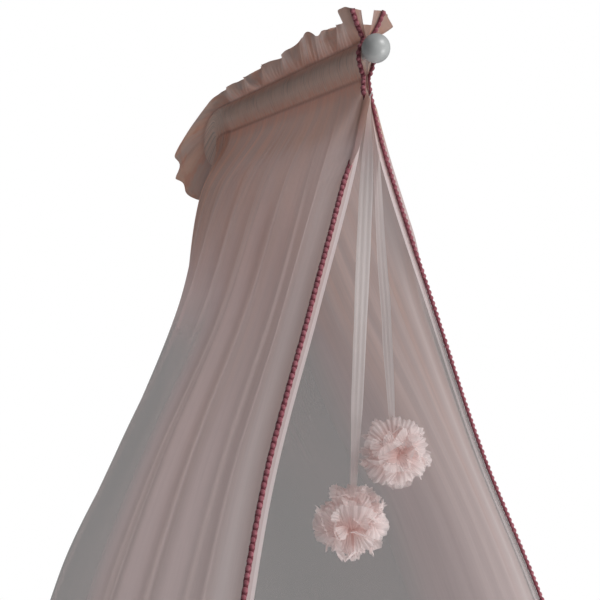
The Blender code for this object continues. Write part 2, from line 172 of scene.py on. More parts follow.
class Finish:
    def __init__(self, name):
        self.material = bpy.data.materials.new(name)
        self.material.use_nodes = True
        self.nodes, self.links = self.material.node_tree.nodes, self.material.node_tree.links
        self.shader = self.nodes["Principled BSDF"]

    def node(self, kind, settings=None, values=None):
        made = self.nodes.new("ShaderNode" + kind)
        for name, value in (settings or {}).items():
            if name == "stops":
                while len(made.color_ramp.elements) < len(value):
                    made.color_ramp.elements.new(0.5)
                for element, (place, shade) in zip(made.color_ramp.elements, value):
                    element.position = place
                    element.color = shade
            else:
                setattr(made, name, value)
        for name, value in (values or {}).items():
            self.feed(made.inputs[name], value)
        return [Socket(self, output) for output in made.outputs if output.enabled]

    def feed(self, slot, value):
        if isinstance(value, Socket):
            self.links.new(value.socket, slot)
        else:
            slot.default_value = value

    def set(self, **values):
        for name, value in values.items():
            words = "".join(" " + letter if letter.isupper() else letter for letter in name)
            self.feed(self.shader.inputs[words.strip().replace("I O R", "IOR")], value)

    def sheer(self, alpha, glow, share):  # thin cloth: part clear, part lit from behind
        front = Socket(self, self.shader.outputs[0])
        lit = self.node("BsdfTranslucent", None, {"Color": glow})[0]
        cloth = self.node("MixShader", None, {0: share, 1: front, 2: lit})[0]
        clear = self.node("BsdfTransparent")[0]
        shown = self.node("MixShader", None, {0: alpha, 1: clear, 2: cloth})[0]
        self.links.new(shown.socket, self.nodes["Material Output"].inputs["Surface"])

    def uv(self, name):
        return self.node("UVMap", {"uv_map": name})[0]

    def parts(self, vector):
        return self.node("SeparateXYZ", None, {0: vector})

    def place(self, vector, scale):
        return self.node("Mapping", None, {"Vector": vector, "Scale": scale})[0]

    def noise(self, vector, scale, detail=2.0, rough=0.5):
        return self.node("TexNoise", None,
                         {"Vector": vector, "Scale": scale, "Detail": detail, "Roughness": rough})[0]

    def grain(self, vector, scale, detail=2.0, rough=0.5):  # noise, finer where its scale is larger
        return self.noise(self.place(vector, scale), 1.0, detail, rough)

    def ramp(self, value, stops):
        return self.node("ValToRGB", {"stops": stops}, {0: value})[0]

    def mix(self, share, first, second):
        return self.node("Mix", {"data_type": "RGBA"}, {0: share, 6: first, 7: second})[0]

    def limit(self, value, low=0.0, high=1.0):
        return self.node("Clamp", None, {"Value": value, "Min": low, "Max": high})[0]

    def away(self, value, place):  # how far a value is from a place
        return self.node("Math", {"operation": "ABSOLUTE"}, {0: value - place})[0]

    def sine(self, value):
        return self.node("Math", {"operation": "SINE"}, {0: value})[0]

    def bump(self, height, strength, distance):
        return self.node("Bump", None, {"Height": height, "Strength": strength, "Distance": distance})[0]


# helpers for new pieces

anyTurn = (0, 6.28)  # radians


def deselectAll():
    bpy.ops.object.select_all(action="DESELECT")


def newPiece(name):  # names what was just added, with its place and turn put into its mesh
    piece = bpy.context.object
    piece.name = piece.data.name = name
    bpy.ops.object.transform_apply(location=True, rotation=True, scale=True)
    return piece


def smoothStep(value):
    value = np.clip(value, 0.0, 1.0)
    return value * value * (3.0 - 2.0 * value)


def curveThrough(knots, values, places):  # smooth curve through (knot, value) pairs
    knots = np.asarray(knots, float)
    values = np.asarray(values, float).reshape(len(knots), -1)
    places = np.clip(np.atleast_1d(places), knots[0], knots[-1])
    order = np.arange(len(knots))
    low, high = np.maximum(order - 1, 0), np.minimum(order + 1, len(knots) - 1)
    slopes = (values[high] - values[low]) / (knots[high] - knots[low])[:, None]
    i = np.clip(np.searchsorted(knots, places, side="right") - 1, 0, len(knots) - 2)
    width = (knots[i + 1] - knots[i])[:, None]
    t = (places - knots[i])[:, None] / width
    return (values[i] * (2 * t**3 - 3 * t**2 + 1) + values[i + 1] * (3 * t**2 - 2 * t**3)
            + slopes[i] * width * (t**3 - 2 * t**2 + t) + slopes[i + 1] * width * (t**3 - t**2))


def waveThrough(rows, column, places):  # wave that turns smoothly at each row of a table
    knots = np.array([row[0] for row in rows])
    values = np.array([row[column] for row in rows])
    i = np.clip(np.searchsorted(knots, places) - 1, 0, len(knots) - 2)
    part = (places - knots[i]) / (knots[i + 1] - knots[i])
    return values[i] + (values[i + 1] - values[i]) * smoothStep(part)


def wobble(places, seed, slow, steps=4):  # smooth irregular wave between about -1 and 1
    chance = random.Random(seed)
    total = 0.0
    for step in range(steps):
        pace = slow * (1 + 0.83 * step)
        total = total + np.sin(2 * pi * (pace * places + chance.random())) / (1 + step)
    return total / 1.6


def waves(places, count, stray, seed, slow, strayPlaces=None):  # count waves, which wander by stray
    along = places if strayPlaces is None else strayPlaces
    return np.sin(2 * pi * count * places + stray * wobble(along, seed, slow))


def bell(value, first, over, last, overEnd):  # rises from 0 at first to 1, and is back at 0 at last
    return smoothStep((value - first) / over) * smoothStep((last - value) / overEnd)


def gridSheet(name, points, flat):  # points and flat are rows x columns x 3 and x 2
    rows, columns = points.shape[:2]
    deselectAll()
    bpy.ops.mesh.primitive_grid_add(x_subdivisions=columns - 1, y_subdivisions=rows - 1, size=1)
    sheet = bpy.context.object
    sheet.name = sheet.data.name = name
    mesh = sheet.data
    spot = np.empty(len(mesh.vertices) * 3, np.float32)
    mesh.vertices.foreach_get("co", spot)
    spot = spot.reshape(-1, 3)
    column = np.rint((spot[:, 0] + 0.5) * (columns - 1)).astype(int)
    row = np.rint((0.5 - spot[:, 1]) * (rows - 1)).astype(int)
    mesh.vertices.foreach_set("co", points[row, column].astype(np.float32).ravel())
    corner = np.empty(len(mesh.loops), np.int32)
    mesh.loops.foreach_get("vertex_index", corner)
    while mesh.uv_layers:
        mesh.uv_layers.remove(mesh.uv_layers[0])
    layer = mesh.uv_layers.new(name="flatCloth")
    layer.data.foreach_set("uv", flat[row, column][corner].astype(np.float32).ravel())
    mesh.update()
    bpy.ops.object.shade_smooth()
    return sheet, row, column


def wear(piece, finish, slot, *nodes):  # finish, body and the CAD nodes that a piece stands for
    piece.data.materials.clear()
    piece.data.materials.append(finish)
    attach(piece, "root")
    if nodes:
        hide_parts(*nodes)


# the canopy: one piece of voile, doubled over the rod, its side edges meeting behind the ball.
# share runs along its top edge on each half, from 0 at the middle of the back to 1 at the front edge,
# and side is 1 for the right half and -1 for the left one

canopy = {
    "halfWidth": 1.36, "headingLength": 0.055, "pocketLength": 0.08, "panelLength": 1.44,  # as cut
    "columns": 292, "edgeColumns": 8, "headingRows": 12, "pocketRows": 14, "panelRows": 108,
    "rowCrowding": 1.35,  # rows lie closer together near the pocket
    "pocketFront": -0.597, "pocketBack": -0.06, "hem": -1.48,
    "seamHalf": 0.0013, "upperSeam": 0.022, "lowerSeam": -0.045,
    "shoulder": (0.0114, 0.003), "belly": (0.0125, -0.015),  # how far out the pocket is, and where
    "collarShare": 0.24, "collarLead": 0.03, "trimShare": 0.985,
    "edgeTurn": 0.015, "edgeTurnShare": 0.35, "edgeForward": 0.004,
    "frontPull": 0.007, "pullShare": 0.93, "pullOver": 0.055,
    "flapForward": 0.016, "flapLength": 0.05, "flapMost": 1.5,
    "seamDrop": 0.035, "seamDrift": 0.13, "cornerShare": 0.18, "bulgeShare": 0.5,
}
halfWidth, collarShare, trimShare = canopy["halfWidth"], canopy["collarShare"], canopy["trimShare"]
upperSeamDown = canopy["headingLength"]  # down the cut cloth, from its top edge
lowerSeamDown = upperSeamDown + canopy["pocketLength"]
clothLength = lowerSeamDown + canopy["panelLength"]

# gathers of the heading and the pocket: how many on each half, how large, where they calm at the front
gathers = {
    "swells": 17, "swellSize": 0.003, "swellCalm": (0.965, 0.03), "atPocket": 2.3,
    "pleats": 66, "shirring": 0.0013, "edgeCalm": (0.972, 0.03),
    "pocketPleat": 0.0024, "pocketCalm": (0.968, 0.02), "edgeNarrow": 0.75,
    "ruffles": 13, "ruffleDepth": 0.0062, "ruffleLift": 0.0042, "puff": 0.1,
}

# folds of the panels: how large on each half, how far down they start and fade, and two special ones
folds = {
    "mainSize": {1: 0.11, -1: 0.65}, "softSize": {1: 0.15, -1: 1.0}, "slopeStep": 0.004,
    "mainStart": 0.28, "mainAtHem": 1.6, "fullX": 0.024, "leastX": 0.02,
    "fineDepth": 0.0014, "fineFade": 0.2, "middleDepth": 0.0016, "middles": 27,
    "broadDepth": 0.0038, "broads": 11,
    "lapForward": 0.034, "lapShare": (0.9, 0.06), "lapTrim": 0.012, "lapDepth": (0.008, 0.04, 0.21, 0.09),
    "swellOut": 0.02, "swellShare": (0.86, 0.08), "swellTrim": 0.013, "swellDepth": (0.0, 0.05, 0.42, 0.16),
}

# how closely gathered the hanging cloth is: share, fullness. Where it is low, the cloth is sheerer
bodyRows = {
    -1: (
        (0.0, 0.17), (0.2, 0.1), (0.3, 0.06), (0.615, 0.08), (0.65, 0.95), (0.75, 1.1), (0.88, 0.92),
        (0.905, 1.18), (0.97, 1.22), (0.985, 0.9), (1.0, 1.0)),
    1: (
        (0.0, 0.2), (0.28, 0.22), (0.4, 0.95), (0.78, 1.05), (0.84, 1.5), (0.925, 1.6),
        (0.945, 0.18), (0.985, 0.16), (1.0, 0.2)),
}

# free edge of the heading, in mm: distance behind the pocket's front end, rise above the seam, lean
headingRows = {
    -1: (
        (0, 43, 24), (3.5, 45, 39), (10, 48, 50), (22, 48, 51), (48, 40, 22), (78, 46, 10), (113, 42, 24),
        (144, 44, 12), (172, 58, 22), (200, 56, 10), (234, 40, 28), (290, 38, 12), (333, 36, 26),
        (370, 40, 12), (404, 24, 32), (461, 34, 12), (500, 24, 30), (534, 24, 22)),
    1: (
        (0, 48, 3), (3.5, 52, 25), (9, 50, 42), (22, 37, 66), (50, 44, 18), (92, 46, 28), (128, 44, 10),
        (160, 52, 26), (204, 56, 12), (250, 38, 28), (300, 40, 10), (350, 34, 30), (400, 32, 12),
        (445, 30, 30), (490, 28, 14), (534, 24, 22)),
}

# ribs of the part that droops over the rod's wall end: share, then x y z of each line in mm
collarLines = ("top", "upper", "shoulder", "belly", "lower")
collarRows = (
    (0.0, (0, -8, -196), (0, -14, -124), (0, -20, -80), (0, -28, -74), (0, -36, -92)),
    (0.06, (66, -8, -198), (36, -14, -115), (20, -21, -71), (18, -29, -65), (22, -37, -85)),
    (0.11, (108, -10, -166), (50, -15, -80), (30, -24, -42), (27, -32, -45), (30, -42, -70)),
    (0.16, (112, -14, -84), (46, -19, -30), (30, -30, -10), (26, -40, -24), (26, -50, -57)),
    (0.2, (68, -20, -8), (26, -30, 6), (22, -40, 2), (19, -49, -15), (14, -57, -49)),
)

# plan of the panels, in mm: height, front edge x y, bulge x y, back corner x y, middle of the back y
panelRows = 0.001 * np.array((
    (-200, 41, -600, 86, -222, 70, -44, -34),
    (-460, 133, -619, 190, -250, 101, -34, -26),
    (-720, 227, -640, 332, -270, 165, -32, -24),
    (-970, 311, -696, 456, -290, 290, -34, -24),
    (-1480, 470, -800, 640, -350, 430, -45, -26)))

# main folds of the panels: share, how far they stand out in mm, before mainSize
foldRows = {
    -1: (
        (0.0, 0), (0.1, -4), (0.2, 6), (0.29, -6), (0.36, 5), (0.43, -8), (0.5, 12), (0.56, -11),
        (0.61, 8), (0.66, -10), (0.71, 13), (0.75, -11), (0.79, 14), (0.84, -12), (0.865, 1), (0.885, -6),
        (0.915, 17), (0.972, 0), (1.0, 0)),
    1: (
        (0.0, 0), (0.09, 5), (0.19, -5), (0.27, 6), (0.35, -7), (0.43, 9), (0.49, -9), (0.55, 11),
        (0.61, -12), (0.66, 10), (0.72, -10), (0.77, 13), (0.82, -13), (0.87, 10), (0.91, -8),
        (0.945, 12), (0.98, 2), (1.0, 0)),
}


def calmAtEdge(share, calm):  # 1 along the cloth, 0 from calm's share on
    last, over = calm
    return smoothStep((last - share) / over)


def foldSeed(side):
    return 11 + 4 * side


def rodRibs(side, share):  # lines of the heading and the pocket, along the rod
    along = (share - collarShare) / (1.0 - collarShare)
    y = canopy["pocketBack"] + along * (canopy["pocketFront"] - canopy["pocketBack"])
    pulled = smoothStep((share - canopy["pullShare"]) / canopy["pullOver"])
    pulled = pulled * np.clip((1 - share) / (1 - trimShare), 0, 1)
    y = y - canopy["frontPull"] * pulled
    place = y - canopy["pocketFront"]
    rise, lean = (0.001 * waveThrough(headingRows[side], i, 1000 * place) for i in (1, 2))
    flare = canopy["flapForward"] * np.clip(1.0 - place / canopy["flapLength"], 0.0, canopy["flapMost"])
    stray = 2.6 * wobble(along, 61 + side, 3.0)
    swell = gathers["swellSize"] * (0.5 - 0.5 * np.cos(2 * pi * gathers["swells"] * along + stray))
    swell = swell * calmAtEdge(share, gathers["swellCalm"])
    lines = {
        "top": (lean, y - flare, canopy["upperSeam"] + rise),
        "upper": (canopy["seamHalf"], y, canopy["upperSeam"]),
        "shoulder": (canopy["shoulder"][0] + swell, y, canopy["shoulder"][1]),
        "belly": (canopy["belly"][0] + swell, y, canopy["belly"][1]),
        "lower": (canopy["seamHalf"], y, canopy["lowerSeam"]),
    }
    return {name: np.stack(np.broadcast_arrays(*line), 1) for name, line in lines.items()}


def ribs(side, share):  # the same lines at any share, the drooping part too
    straight = rodRibs(side, share)
    first, later = collarRows[1][0], collarShare
    knots = [-first] + [row[0] for row in collarRows] + [later, later + canopy["collarLead"]]
    following = rodRibs(side, np.array(knots[-2:]))
    found = {}
    for number, line in enumerate(collarLines):
        points = 0.001 * np.array([row[number + 1] for row in collarRows])
        drooping = curveThrough(knots, [points[1] * (-1, 1, 1), *points, *following[line]], share)
        found[line] = np.where((share >= later)[:, None], straight[line], drooping)
    return found


def plans(share):  # levels x shares x 2, the panels without folds
    corner = canopy["cornerShare"]
    knots = (-corner, 0.0, corner, canopy["bulgeShare"], trimShare)
    inner = np.minimum(share, trimShare)
    turned = (share - inner) / (1.0 - trimShare)
    found = []
    for _, frontX, frontY, bulgeX, bulgeY, cornerX, cornerY, backY in panelRows:
        pairs = ((-cornerX, cornerY), (0.0, backY), (cornerX, cornerY), (bulgeX, bulgeY), (frontX, frontY))
        plan = curveThrough(knots, pairs, inner)
        plan[:, 0] -= min(canopy["edgeTurn"], canopy["edgeTurnShare"] * frontX) * turned
        plan[:, 1] -= canopy["edgeForward"] * turned
        found.append(plan)
    return np.array(found)


def smoothPanel(seams, plan, heights):  # columns x rows x 2
    levels = [-row[0] for row in panelRows]
    found = np.empty((*heights.shape, 2))
    for i, seam in enumerate(seams):
        hanging = seam[:2] + (plan[0, i] - seam[:2]) * canopy["seamDrift"]
        knots = [-seam[2], canopy["seamDrop"] - seam[2], *levels]
        found[i] = curveThrough(knots, [seam[:2], hanging, *plan[:, i]], -heights[i])
    return found


def panelPoints(side, share, fraction):  # columns x rows x 3, from the lower seam to the hem
    step = folds["slopeStep"]
    near, far = np.maximum(share - step, 0.0), np.minimum(share + step, 1.0)
    seams = ribs(side, share)["lower"]
    heights = seams[:, 2:] + (canopy["hem"] - seams[:, 2:]) * fraction[None]
    here = smoothPanel(seams, plans(share), heights)
    run = (smoothPanel(ribs(side, far)["lower"], plans(far), heights)
           - smoothPanel(ribs(side, near)["lower"], plans(near), heights))
    outward = np.stack([-run[..., 1], run[..., 0]], 2)
    outward /= np.linalg.norm(outward, axis=2)[..., None]
    depth = seams[:, 2:] - heights
    growth = smoothStep(depth / folds["mainStart"]) * (1 + (folds["mainAtHem"] - 1) * fraction[None])
    narrow = np.clip(np.maximum(here[..., 0], folds["leastX"]) / folds["fullX"], 0, 1)
    room = np.where((share > collarShare)[:, None], narrow, 1.0)
    out = 0.001 * waveThrough(foldRows[side], 1, share)[:, None] * growth * room * folds["mainSize"][side]
    out = out + softFolds(side, share[:, None], depth, here[..., 0])
    place = here + outward * out[..., None]
    if side < 0:  # a fold of the left layer laps over its trim at the top
        lap = bell(share, *folds["lapShare"], trimShare, folds["lapTrim"])
        place[..., 1] -= folds["lapForward"] * lap[:, None] * bell(depth, *folds["lapDepth"])
    return np.concatenate([place, heights[..., None]], 2)


def softFolds(side, share, depth, reach):  # the small gathers and drapes between the main folds
    seed = foldSeed(side)
    drift = 0.012 * wobble(depth, seed + 5, 0.9)
    pleat = waves(share, gathers["pleats"], 2.2, seed, 7.0)
    middle = waves(share + 0.4 * drift, folds["middles"], 4.0, seed + 1, 3.0, share)
    broad = waves(share + drift, folds["broads"], 4.2, seed + 2, 2.2, share)
    patch = 0.55 + 0.45 * wobble(share + 0.25 * depth, seed + 3, 2.3)
    middle = middle * patch * smoothStep(depth / 0.1) * np.exp(-depth / 1.1)
    broad = broad * (1.1 - patch) * smoothStep(depth / 0.45)
    out = folds["fineDepth"] * pleat * np.exp(-depth / folds["fineFade"])
    out = out + folds["middleDepth"] * middle + folds["broadDepth"] * broad
    space = np.where(share > collarShare, np.clip(reach / 0.03, 0.18, 1.0), 0.6)
    out = out * calmAtEdge(share, gathers["edgeCalm"]) * space * folds["softSize"][side]
    if side > 0:  # the right layer stands out behind its trim
        swell = bell(share, *folds["swellShare"], trimShare, folds["swellTrim"])
        out = out + folds["swellOut"] * swell * bell(depth, *folds["swellDepth"])
    return out


def headingPoints(side, share, lines):  # columns x rows x 3, from the free edge to the upper seam
    up = np.linspace(1.0, 0.0, canopy["headingRows"] + 1)[:-1][None, :, None]
    height = (lines["top"] - lines["upper"])[:, None]
    calm = calmAtEdge(share, gathers["edgeCalm"])
    turn = 2 * pi * gathers["ruffles"] * share + 3.4 * wobble(share, 31 + side, 3.0)
    size = gathers["ruffleDepth"] * (0.75 + 0.45 * wobble(share, 35 + side, 4.0)) * calm
    out = size * np.sin(turn)
    sway = 0.35 * size * np.cos(turn + 0.8)
    lift = gathers["ruffleLift"] * (np.abs(np.sin(0.5 * turn + side)) - 0.64) * calm
    upright = np.stack([out, sway, lift], 1)
    hanging = np.stack([out * 0.7, out * 1.5, lift + sway], 1)
    lead = canopy["collarLead"]
    droop = smoothStep((collarShare + lead - share) / (2 * lead))[:, None]
    ruffle = upright * (1 - droop) + hanging * droop
    puff = np.sin(pi * up) * gathers["puff"] * height
    puff[..., 2] = 0.0
    pleat = waves(share, gathers["pleats"], 2.2, 21 + side, 7.0) * calm
    pleat = (gathers["shirring"] * pleat)[:, None]
    shirr = np.concatenate([pleat * (1 - droop), pleat * droop, 0 * pleat], 1)
    nearSeam = (1 - up) ** 0.8 * smoothStep((1 - up) * 6)
    straight = lines["upper"][:, None] + height * up
    return straight + ruffle[:, None] * up**1.3 + puff + shirr[:, None] * nearSeam


def pocketPoints(side, share, lines):  # columns x rows x 3, round the rod between the two seams
    knots = (0.0, 0.3, 0.52, 1.0)  # how far round the seams, the shoulder and the belly lie
    steps = np.linspace(0.0, 1.0, canopy["pocketRows"] + 1)[:-1]
    seams = [lines[name] for name in ("upper", "shoulder", "belly", "lower")]
    found = np.array([curveThrough(knots, [line[i] for line in seams], steps) for i in range(len(share))])
    widest = np.maximum(lines["shoulder"][:, 0], lines["belly"][:, 0]) + 0.0003
    straight = share > collarShare
    found[straight, :, 0] = np.minimum(found[straight, :, 0], widest[straight, None])
    full = np.sin(pi * steps)[None] ** 0.6
    stray = 1.6 * wobble(share, foldSeed(side), 9.0)
    pleat = np.abs(np.sin(pi * gathers["pleats"] * share + stray)) ** 0.6
    uneven = 0.75 + 0.25 * wobble(share, 77 + side, 13.0)
    pleat = pleat * uneven * calmAtEdge(share, gathers["pocketCalm"])
    found[..., 0] += gathers["pocketPleat"] * pleat[:, None] * full
    turned = np.clip((share - trimShare) / (1 - trimShare), 0, 1)
    below = smoothStep((-0.011 - found[..., 2]) / 0.01)
    found[..., 0] *= 1 - gathers["edgeNarrow"] * turned[:, None] * below
    return found


# where the columns of each half and the rows of the panels lie
shares = np.concatenate([np.linspace(0.0, trimShare, canopy["columns"] + 1),
                         np.linspace(trimShare, 1.0, canopy["edgeColumns"] + 1)[1:]])
fractions = (np.arange(canopy["panelRows"] + 1) / canopy["panelRows"]) ** canopy["rowCrowding"]


def clothHalf(side):
    lines = ribs(side, shares)
    half = np.concatenate([headingPoints(side, shares, lines), pocketPoints(side, shares, lines),
                           panelPoints(side, shares, fractions)], 1)
    half[..., 0] *= side
    return half


def flatPlaces():  # where each point lies on the cut cloth, in metres
    widths = np.concatenate([halfWidth * (1 - shares[::-1]), halfWidth * (1 + shares[1:])])
    heading = np.linspace(0, canopy["headingLength"], canopy["headingRows"] + 1)[:-1]
    pocket = np.linspace(0, canopy["pocketLength"], canopy["pocketRows"] + 1)[:-1] + upperSeamDown
    downs = np.concatenate([heading, pocket, lowerSeamDown + canopy["panelLength"] * fractions])
    return np.stack(np.meshgrid(widths, downs), 2)


def clothFullness(points, flat):  # widths of cloth that are gathered into each place
    cut = np.gradient(flat[..., 0], axis=1)
    hung = np.linalg.norm(np.gradient(points, axis=1), axis=2)
    fullness = np.clip(cut / np.maximum(hung, 1e-6), 0.8, 3.2)
    padded = np.pad(fullness, ((0, 0), (4, 4)), mode="edge")  # then evened over nine columns
    fullness = np.array([np.convolve(row, np.ones(9) / 9, mode="valid") for row in padded])
    height = points[..., 2]
    onPanel = np.arange(len(points)) > canopy["headingRows"] + canopy["pocketRows"]
    hanging = smoothStep((-0.1 - height) / 0.16) * onPanel[:, None]
    fullness = np.maximum(fullness, gathers["atPocket"] * (1 - hanging))
    body = (waveThrough(bodyRows[1], 1, shares[::-1]), waveThrough(bodyRows[-1], 1, shares[1:]))
    lower = smoothStep((-0.26 - height) / 0.3)
    return fullness * (1 + (np.concatenate(body)[None] - 1) * lower)


def makeCanopy(finish):
    right, left = clothHalf(1), clothHalf(-1)
    columns = np.concatenate([right[::-1], left[1:]])  # from the right front edge round to the left one
    points = columns.transpose(1, 0, 2)
    flat = flatPlaces()
    cloth, row, column = gridSheet("canopyVoile", points, flat)
    layer = cloth.data.attributes.new("fullness", "FLOAT", "POINT")
    layer.data.foreach_set("value", clothFullness(points, flat)[row, column].astype(np.float32))
    wear(cloth, finish, "voile", "canopy_cloth")
    return right, left


# the voile's finish. Sizes are in metres on the cut cloth; across is 0 at the right front edge

voile = {
    "bottomHem": 0.022, "sideHem": 0.008, "topHem": 0.006,
    "clearLayer": 0.34,  # light that one layer lets through
    "seamReach": 0.006, "glowReach": 0.03, "flapShare": 0.94,
    "threads": 5200.0, "stitches": 1570.0,
    "highlightRolls": ((0.15, 0.085, 0.95), (2.64, 0.075, 0.8)),  # place across, reach and strength of the painted highlight on the rolls by the front edges
    "litThrough": 0.4,  # share of the light that comes from behind
}

tints = {
    "low": [(0.2, (0.847, 0.686, 0.693, 1)), (0.8, (0.9, 0.755, 0.762, 1))],
    # deeper orange-brown of thick gathers, partly painted shade darker towards the top
    "high": [(0.4, (0.63, 0.48, 0.43, 1)), (0.6, (0.92, 0.57, 0.42, 1))],
    # painted highlight along both front edges
    "roll": (0.99, 0.96, 0.975, 1),
    # painted shade: deep orange over patches of the heading
    "depth": (0.8, 0.34, 0.2, 1),
    # painted light: pale peach that lifts the pocket above its shade
    "pocket": (0.99, 0.79, 0.67, 1),
    # painted shade: dark grey lines between the pocket's pleats
    "shirring": (0.34, 0.32, 0.3, 1),
    # painted shade: dark brown on the heading's front flaps
    "flap": (0.5, 0.28, 0.21, 1),
    # painted shade: deep orange in the puckers along the seams
    "seamPuckerShade": (0.9, 0.36, 0.2, 1),
    "seam": (0.42, 0.16, 0.1, 1),
    "through": (0.87, 0.71, 0.682, 1),
}


def voilePlaces(look):  # where hems, seams, the painted highlight on the rolls, and grain lie on the cut cloth
    flat = look.uv("flatCloth")
    across, down, _ = look.parts(flat)
    sideHem = (across < voile["sideHem"]) + (across > (2 * halfWidth - voile["sideHem"]))
    hems = (down > (clothLength - voile["bottomHem"])) + sideHem + (down < voile["topHem"])
    pale = 0.0  # painted highlight on the rolls beside the front edges
    for place, reach, much in voile["highlightRolls"]:
        broad = reach + look.limit(0.45 - down) * 0.25
        pale = pale + look.limit(1.0 - look.away(across, place) / broad) * much
    seams = 0.0
    for place in (upperSeamDown, lowerSeamDown):
        seams = seams + look.limit(1.0 - look.away(down, place) / voile["seamReach"])
    heading = down < upperSeamDown
    middle = look.away(across, halfWidth)
    return SimpleNamespace(
        across=across, down=down, middle=middle, seams=seams, hems=look.limit(hems),
        # painted highlight on the rolls, fading in below the pocket, and on the side hems
        pale=look.limit(pale * look.limit(down * 5.0 - 0.8) + sideHem * 0.6),
        leftHalf=across > halfWidth,
        pocket=(down > upperSeamDown) * (down < lowerSeamDown),
        flaps=(middle > (voile["flapShare"] * halfWidth)) * heading,
        fullness=look.node("Attribute", {"attribute_name": "fullness"})[2],
        streaks=look.grain(flat, (46.0, 1.3, 1.0), 3.0, 0.6),
        fine=look.grain(flat, (210.0, 5.0, 1.0)),
        pucker=look.grain(flat, (160.0, 60.0, 1.0)),
        warm=look.grain(flat, (15.0, 2.2, 1.0)),
        pleatShadeGrain=look.grain(flat, (260.0, 9.0, 1.0), 2.0, 0.6),
        crumple=look.grain(flat, (24.0, 34.0, 1.0), 3.0, 0.55) * heading,
        threads=look.sine(across * voile["threads"]) * look.sine(down * voile["threads"]))


def voileColour(look, at):
    # darker orange-brown where the cloth is gathered thick: partly the deeper tone of many layers, partly
    # painted shade that fades out down the panels
    thickAndTopShade = look.limit((at.fullness - 1.25) * 1.15) * look.limit(1.35 - at.down * 1.15)
    wallEnd = look.limit(at.middle * 4.0 - 0.3)  # 0 where the cloth droops round the rod's wall end
    low = look.ramp(at.streaks * 0.6 + at.fine * 0.4, tints["low"])
    # painted highlight: near-white along both front edges
    low = look.mix(at.pale, low, tints["roll"])
    high = look.ramp(at.streaks * 0.3 + at.warm * 0.7, tints["high"])
    blush = look.mix(thickAndTopShade * (1.0 - at.pale * 0.8), low, high)
    # painted shade: deep orange on the heading where the crumple grain is high
    blush = look.mix(look.limit((at.crumple - 0.53) * 6.0, 0.0, 0.65), blush, tints["depth"])
    # painted light: pale peach over the pocket, lifting it above its shade
    blush = look.mix(at.pocket * 0.85, blush, tints["pocket"])
    # painted shade: dark grey lines between the pocket's pleats
    shirring = look.limit(at.pocket * (at.pleatShadeGrain - 0.53) * 7.0, 0.0, 0.6)
    blush = look.mix(shirring, blush, tints["shirring"])
    # painted shade: dark brown on the heading's front flaps
    blush = look.mix(at.flaps * 0.55, blush, tints["flap"])
    # painted shade: deep orange in the puckers along both seams, kept off the rod's wall end
    puckerShadeMask = look.limit(at.pucker * 2.6 - 0.6) * wallEnd
    for place in (upperSeamDown, lowerSeamDown):
        glow = look.limit(1.0 - look.away(at.down, place) / voile["glowReach"])
        blush = look.mix(glow * puckerShadeMask, blush, tints["seamPuckerShade"])
    stitched = look.limit(at.seams * (0.3 + at.pucker * 1.1)) * (0.15 + wallEnd * 0.85)
    return look.mix(stitched, blush, tints["seam"])


def voileFinish():
    look = Finish("blushVoile")
    at = voilePlaces(look)
    layers = at.fullness * (0.86 + at.streaks * 0.3) * (1.0 + at.hems * 0.9)
    alpha = 1.0 - voile["clearLayer"] ** layers + at.fine * 0.06 - 0.03 + at.threads * 0.02
    stitch = look.sine(at.across * voile["stitches"]) > 0.1
    relief = at.streaks * 0.7 + at.crumple * 7.0 + at.fine * 0.35 + at.threads * 0.03
    relief = relief - at.seams * (0.3 + at.pucker) + at.seams * stitch * 0.25
    look.set(BaseColor=voileColour(look, at), Roughness=0.86, SheenWeight=0.25, SheenRoughness=0.45,
             SpecularIORLevel=0.15, Normal=look.bump(relief, 0.35, 0.0012))
    # painted shade: the left half lets less light through near the rod's wall end and at its flap; the
    # painted highlight lets a little more through
    wallEndShade = look.limit(1.15 - at.down * 1.6) * look.limit(1.0 - at.middle * 1.6) * at.leftHalf
    lit = voile["litThrough"] + at.pale * 0.04 - wallEndShade * 0.15 - at.flaps * at.leftHalf * 0.18
    look.sheer(look.limit(alpha, 0.03, 1.0), tints["through"], lit)
    return look.material


trimRight, trimLeft = makeCanopy(voileFinish())
print("canopy made")


# the bobble trims, 15 mm behind each front edge, from the top of the heading to the hem

trim = {
    "pitch": 0.0105, "start": 0.004, "spare": 0.006,
    "bobbleLong": 0.0048, "bobbleWide": 0.005, "bobbleDeep": 0.0042, "bobbleLift": 0.2,
    "tapeHalfWidth": 0.0046, "tapeHalfDepth": 0.0029, "tapeRound": 0.012, "tapeEnd": 0.0005,
    "tapeSteps": 420, "tapeSides": 12, "scallop": 0.1, "offCloth": 0.0002,
    "innerColumns": 6, "slopeReach": 0.002,
}


def trimRoute(half, side):  # places down the trim, outward directions, lengths so far
    column = canopy["columns"]
    line, edge, inner = half[column], half[-1], half[column - trim["innerColumns"]]
    outward = np.cross(np.gradient(line, axis=0), edge - inner) * -side
    outward /= np.linalg.norm(outward, axis=1)[:, None]
    for _ in range(3):
        outward[1:-1] = (outward[:-2] + outward[1:-1] + outward[2:]) / 3
    run = np.concatenate([[0], np.cumsum(np.linalg.norm(np.diff(line, axis=0), axis=1))])
    return line, outward, run


def between(points, run, lengths):  # points at any length along the trim
    return np.stack([np.interp(lengths, run, points[:, i]) for i in range(3)], 1)


def onRoute(route, lengths):  # places, and the directions out, down and across there
    line, outward, run = route
    ahead = between(line, run, lengths + trim["slopeReach"])
    behind = between(line, run, lengths - trim["slopeReach"])
    down = (ahead - behind) / np.maximum(np.linalg.norm(ahead - behind, axis=1), 1e-9)[:, None]
    out = between(outward, run, lengths)
    out = out - down * (out * down).sum(1)[:, None]
    out /= np.linalg.norm(out, axis=1)[:, None]
    return between(line, run, lengths), out, down, np.cross(out, down)


